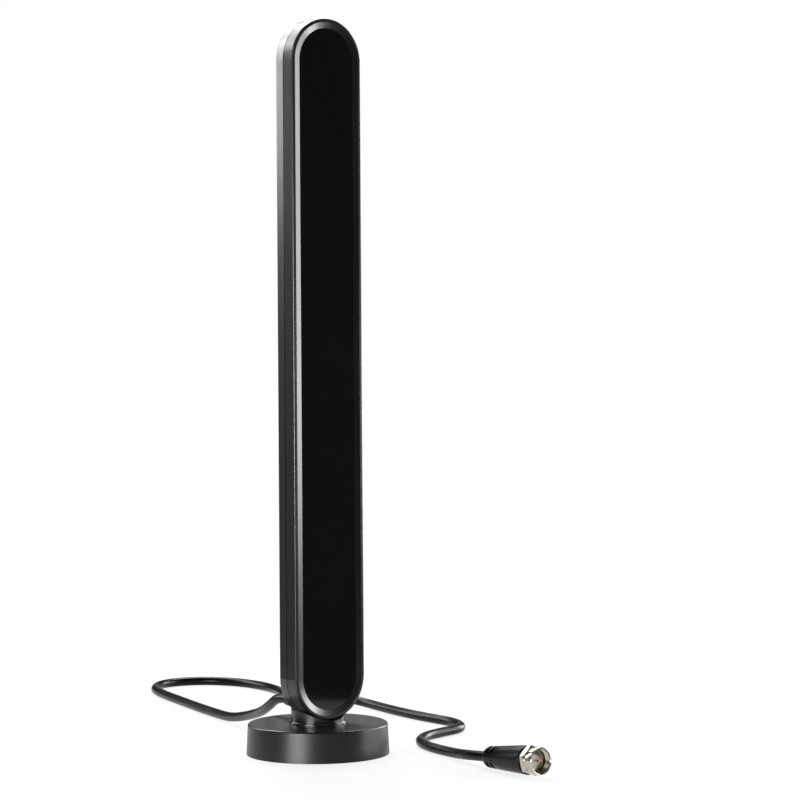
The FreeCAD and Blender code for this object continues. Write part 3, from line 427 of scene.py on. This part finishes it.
def on_hexagon(face):
    """Whether a face of the nut is on the outside of its hexagon."""
    spot = middle_of(face)
    return HEX_START < spot.z < HEX_END and spot.xy.length > HEX_SHOULDER


def on_hex_corner(edge):
    """Whether an edge of the nut is one of the hexagon's six upright corners."""
    stands = abs(direction_of(edge).z) > NEARLY_ALONG
    return stands and middle_of(edge).xy.length > HEX_CORNER and edge.calc_face_angle(0) > HEX_FOLD


def make_nut():
    """The coupling nut: turned, six flats milled on its rear, threaded inside."""
    nut = turn_on_lathe("coupling_nut_turned", NUT_HEXAGON + NUT_COLLAR + NUT_BORE)
    for flat in range(6):
        turn = HEX_TURN + math.radians(60) * flat
        outward = Vector((math.cos(turn), math.sin(turn), 0))
        pick("faces", on_hexagon)
        bpy.ops.mesh.bisect(plane_co=outward * HEX_FLAT * MM, plane_no=outward,
                            use_fill=True, clear_outer=True)
    pick("edges", on_hex_corner)
    bpy.ops.mesh.bevel(offset=HEX_ROUNDING * MM, segments=2, affect="EDGES")
    bpy.ops.object.mode_set(mode="OBJECT")
    draw_profile("thread", THREAD_RIDGE)
    bpy.ops.object.mode_set(mode="OBJECT")
    apply_modifier("SCREW", screw_offset=THREAD_PITCH * MM, iterations=THREAD_TURNS,
                   steps=THREAD_STEPS, render_steps=THREAD_STEPS)
    bpy.ops.object.mode_set(mode="EDIT")
    bpy.ops.mesh.select_all(action="SELECT")
    bpy.ops.mesh.fill_holes(sides=4)
    bpy.ops.mesh.normals_make_consistent(inside=False)
    bpy.ops.object.mode_set(mode="OBJECT")
    nut.select_set(True)
    bpy.context.view_layer.objects.active = nut
    bpy.ops.object.join()
    return nut


# A tie wraps four runs of the cable, two wide and two high. In its own frame Y runs along the cable.
TIE_SIZE = (10, 5, 10)
TIE_WALL = 0.8
TIE_CORNER = 2.9
TIE_ASIDE = 14.7
TIE_ROUNDING = 0.16
TIE_FOLD = math.radians(40)
LATCH_SIZE = (5.4, 5.6, 3.6)
LATCH_HEIGHT = 11.2
LATCH_LIP = 0.9
LATCH_DEPTH = 1.6
TAIL_SIZE = (1.1, 3.6, 4.0)
TAIL_HEIGHT = 13.2


def add_block(size, height):
    """In edit mode, a block of that size in mm, its middle at that height."""
    bpy.ops.mesh.primitive_cube_add(size=MM, location=(0, 0, 0))
    bpy.ops.transform.resize(value=size)
    bpy.ops.transform.translate(value=(0, 0, height * MM))


def make_tie():
    """A moulded cable tie: a band with rounded corners, its latch on top and the cut tail in it."""
    bpy.ops.object.select_all(action="DESELECT")
    bpy.ops.mesh.primitive_cube_add(size=MM)
    tie = bpy.context.object
    bpy.ops.object.mode_set(mode="EDIT")
    bpy.ops.transform.resize(value=TIE_SIZE)
    bpy.ops.transform.translate(value=(0, 0, TIE_SIZE[2] / 2 * MM))
    pick("edges", lambda edge: abs(direction_of(edge).y) > NEARLY_ALONG)
    bpy.ops.mesh.bevel(offset=TIE_CORNER * MM, segments=8, affect="EDGES")
    pick("faces", lambda face: abs(face.normal.y) > NEARLY_ALONG)
    bpy.ops.mesh.delete(type="FACE")
    bpy.ops.object.mode_set(mode="OBJECT")
    apply_modifier("SOLIDIFY", thickness=TIE_WALL * MM, offset=-1, use_even_offset=True)
    bpy.ops.object.mode_set(mode="EDIT")
    bpy.ops.mesh.select_all(action="DESELECT")
    add_block(LATCH_SIZE, LATCH_HEIGHT)
    latch_top = LATCH_HEIGHT + LATCH_SIZE[2] / 2
    pick("faces", lambda face: is_level(face, latch_top))
    bpy.ops.mesh.inset(thickness=LATCH_LIP * MM)
    bpy.ops.mesh.extrude_region_move(TRANSFORM_OT_translate={"value": (0, 0, -LATCH_DEPTH * MM)})
    bpy.ops.mesh.select_all(action="DESELECT")
    add_block(TAIL_SIZE, TAIL_HEIGHT)
    bpy.ops.object.mode_set(mode="OBJECT")
    apply_modifier("BEVEL", width=TIE_ROUNDING * MM, segments=3,
                   limit_method="ANGLE", angle_limit=TIE_FOLD)
    return tie


def tie_place(side):
    """Where a tie sits: half way along one straight run of the hank, side -1 or +1."""
    place = Matrix((HANK_ACROSS, HANK_ALONG, Vector((0, 0, 1)))).transposed().to_4x4()
    place.translation = (HANK_NEAR + HANK_ALONG * HANK_RUN / 2 + HANK_ACROSS * TIE_ASIDE * side) * MM
    return place


cable = lay_cable()
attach(cable, "antenna")
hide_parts("cable_near", "cable_far", "cable_hank")

boot = make_boot()
settle(boot, plug_place(), boot_pvc, "antenna", "plug_boot")
nut = make_nut()
settle(nut, plug_place(), nickel, "nut", "coupling_nut")
left_tie = make_tie()
left_tie.name = "cable_tie_left"
bpy.ops.object.duplicate(linked=False)
right_tie = bpy.context.object
right_tie.name = "cable_tie_right"
for tie, side in ((left_tie, -1), (right_tie, 1)):
    settle(tie, tie_place(side), black_nylon, "antenna", "cable_ties")


# Where the photograph was taken from: nearly level, well to the left of the panel, with a long lens.
VIEW_AROUND = math.radians(-38)
VIEW_BACK = 1.2
VIEW_HEIGHT = 0.1865
VIEW_ASIDE = 0.03585
VIEW_ROLL = 0.0064
FOCAL_PIXELS = 2838
FRAME_PIXELS = 800
HORIZON_ROW = 311.5
SENSOR_MM = 36

ahead = Vector((-math.sin(VIEW_AROUND), math.cos(VIEW_AROUND), 0))
aside = Vector((ahead.y, -ahead.x, 0))
upright = Vector((0, 0, 1))

# The floor is a white oval as large as a small table, in line with the view. These are half its width
# and depth in m. Past its sides, the tower's sides and panel mirror a dim room.
FLOOR_WIDE, FLOOR_DEEP = 0.18, 0.42
FLOOR_BEHIND = 0.1
FLOOR_GREY = "#e6e6e6"
# Near the antenna, a part of what the floor shows is lit paper, which keeps a faint shadow. Its edge is
# all white. The fade is measured in shares of the oval.
FADE_FROM, FADE_TO = 0.5, 0.95
WHITE_NEAR, WHITE_FAR = 0.8, 1.0
# The room, and the white backdrop in it that gloss and metal mirror: a round patch ahead, a little low.
ROOM_GREY = "#48484a"
BACKDROP_DROP = 0.21
BACKDROP_EDGE, BACKDROP_FULL = 0.94, 0.965

# Each soft panel's turn in degrees from the camera's side, its lowest and highest edge, its distance and
# width in m, and its brightness.
SOFT_PANELS = {
    "left_front_panel": (-31, 0.0, 0.27, 1.3, 0.62, 35),
    "right_strip": (103, 0.0, 0.55, 1.2, 0.48, 11.5),
    "right_low_strip": (86, 0.02, 0.17, 1.2, 0.16, 34),
    "right_back_panel": (135, 0.0, 0.7, 1.3, 0.5, 11),
    "left_back_panel": (-121, 0.28, 1.05, 1.3, 0.5, 8.5),
    "left_side_card": (-106, -0.2, 0.36, 1.2, 0.5, 0.25),
    "top_back_panel": (-150, 0.75, 1.15, 0.95, 1.0, 5.8),
    "back_panel": (178, 1.0, 1.5, 1.0, 0.9, 17),
    "front_fill_panel": (22, 0.45, 1.05, 1.2, 1.0, 0.8),
}
# The panels face this spot, about half way up the tower.
LIT_SPOT = Vector((0, 0, 0.14))


def set_camera():
    """The photograph's camera, level and slightly rolled, its frame shifted down to take in the base."""
    right = aside * math.cos(VIEW_ROLL) - upright * math.sin(VIEW_ROLL)
    up = aside * math.sin(VIEW_ROLL) + upright * math.cos(VIEW_ROLL)
    bpy.ops.object.camera_add(location=-ahead * VIEW_BACK + aside * VIEW_ASIDE + upright * VIEW_HEIGHT,
                              rotation=Matrix((right, up, -ahead)).transposed().to_euler())
    camera = bpy.context.object
    camera.data.sensor_width = SENSOR_MM
    camera.data.lens = FOCAL_PIXELS / FRAME_PIXELS * SENSOR_MM
    camera.data.shift_y = (HORIZON_ROW - FRAME_PIXELS / 2) / FRAME_PIXELS
    bpy.context.scene.camera = camera


def white_paper():
    """Paper that is lit as paper is, and shows white to the camera and in mirrors."""
    paper = bpy.data.materials.new("white_paper")
    paper.use_nodes = True
    tree = paper.node_tree
    tree.nodes.clear()
    ray = add_node(tree, "ShaderNodeLightPath")
    seen = add_node(tree, "ShaderNodeMath",
                    {0: ray.outputs["Is Camera Ray"], 1: ray.outputs["Is Glossy Ray"]},
                    operation="MAXIMUM")
    seen = add_node(tree, "ShaderNodeMath",
                    {0: seen.outputs[0], 1: ray.outputs["Is Transmission Ray"]}, operation="MAXIMUM")
    lit = add_node(tree, "ShaderNodeBsdfDiffuse", {"Color": linear(FLOOR_GREY)})
    white = add_node(tree, "ShaderNodeEmission", {"Color": linear("#ffffff"), "Strength": 1.0})
    spot = add_node(tree, "ShaderNodeTexCoord").outputs["Object"]
    oval = add_node(tree, "ShaderNodeVectorMath",
                    {0: spot, 1: (1 / FLOOR_WIDE, 1 / FLOOR_DEEP, 0)}, operation="MULTIPLY")
    away = add_node(tree, "ShaderNodeVectorMath", {0: oval.outputs["Vector"]}, operation="LENGTH")
    far = add_node(tree, "ShaderNodeMapRange",
                   {"Value": away.outputs["Value"], "From Min": FADE_FROM, "From Max": FADE_TO,
                    "To Min": WHITE_NEAR, "To Max": WHITE_FAR})
    share = add_node(tree, "ShaderNodeMath",
                     {0: seen.outputs[0], 1: far.outputs["Result"]}, operation="MULTIPLY")
    both = add_node(tree, "ShaderNodeMixShader",
                    {0: share.outputs[0], 1: lit.outputs[0], 2: white.outputs[0]})
    add_node(tree, "ShaderNodeOutputMaterial", {"Surface": both.outputs[0]})
    return paper


def set_floor():
    """The white oval that the antenna stands on."""
    bpy.ops.object.select_all(action="DESELECT")
    bpy.ops.mesh.primitive_circle_add(vertices=96, radius=1, fill_type="NGON",
                                      location=ahead * FLOOR_BEHIND, rotation=(0, 0, VIEW_AROUND))
    floor = bpy.context.object
    floor.name = "floor"
    bpy.ops.object.mode_set(mode="EDIT")
    bpy.ops.transform.resize(value=(FLOOR_WIDE, FLOOR_DEEP, 1), orient_type="LOCAL")
    bpy.ops.object.mode_set(mode="OBJECT")
    floor.data.materials.append(white_paper())


def set_room():
    """A dim room with a white backdrop, all of it white to the camera."""
    room = bpy.data.worlds.new("studio")
    bpy.context.scene.world = room
    room.use_nodes = True
    tree = room.node_tree
    tree.nodes.clear()
    ray = add_node(tree, "ShaderNodeLightPath")
    where = add_node(tree, "ShaderNodeTexCoord").outputs["Generated"]
    low_ahead = (ahead - upright * BACKDROP_DROP).normalized()
    facing = add_node(tree, "ShaderNodeVectorMath", {0: where, 1: low_ahead}, operation="DOT_PRODUCT")
    backdrop = add_node(tree, "ShaderNodeMapRange",
                        {"Value": facing.outputs["Value"], "From Min": BACKDROP_EDGE,
                         "From Max": BACKDROP_FULL})
    mirrored = add_node(tree, "ShaderNodeMath",
                        {0: ray.outputs["Is Glossy Ray"], 1: ray.outputs["Is Transmission Ray"]},
                        operation="MAXIMUM")
    mirrored = add_node(tree, "ShaderNodeMath",
                        {0: mirrored.outputs[0], 1: backdrop.outputs["Result"]}, operation="MULTIPLY")
    seen = add_node(tree, "ShaderNodeMath",
                    {0: ray.outputs["Is Camera Ray"], 1: mirrored.outputs[0]}, operation="MAXIMUM")
    colour = add_node(tree, "ShaderNodeMix",
                      {MIX_SHARE: seen.outputs[0], MIX_FIRST: linear(ROOM_GREY),
                       MIX_SECOND: linear("#ffffff")}, data_type="RGBA")
    sky = add_node(tree, "ShaderNodeBackground", {"Color": colour.outputs[MIX_COLOUR], "Strength": 1.0})
    add_node(tree, "ShaderNodeOutputWorld", {"Surface": sky.outputs[0]})


def add_soft_panel(name, turn, low, high, distance, width, brightness):
    """A soft panel that faces the antenna, and that the camera doesn't see."""
    angle = VIEW_AROUND + math.radians(turn)
    middle = Vector((math.sin(angle) * distance, -math.cos(angle) * distance, (low + high) / 2))
    facing = (LIT_SPOT - middle).to_track_quat("-Z", "Y")
    bpy.ops.object.light_add(type="AREA", location=middle, rotation=facing.to_euler())
    lamp = bpy.context.object
    lamp.name = name
    lamp.data.shape = "RECTANGLE"
    lamp.data.size = width
    lamp.data.size_y = high - low
    lamp.data.energy = brightness * math.pi * width * (high - low)
    lamp.visible_camera = False


set_camera()
set_floor()
set_room()
for name, settings in SOFT_PANELS.items():
    add_soft_panel(name, *settings)
bpy.context.scene.view_settings.view_transform = "Standard"
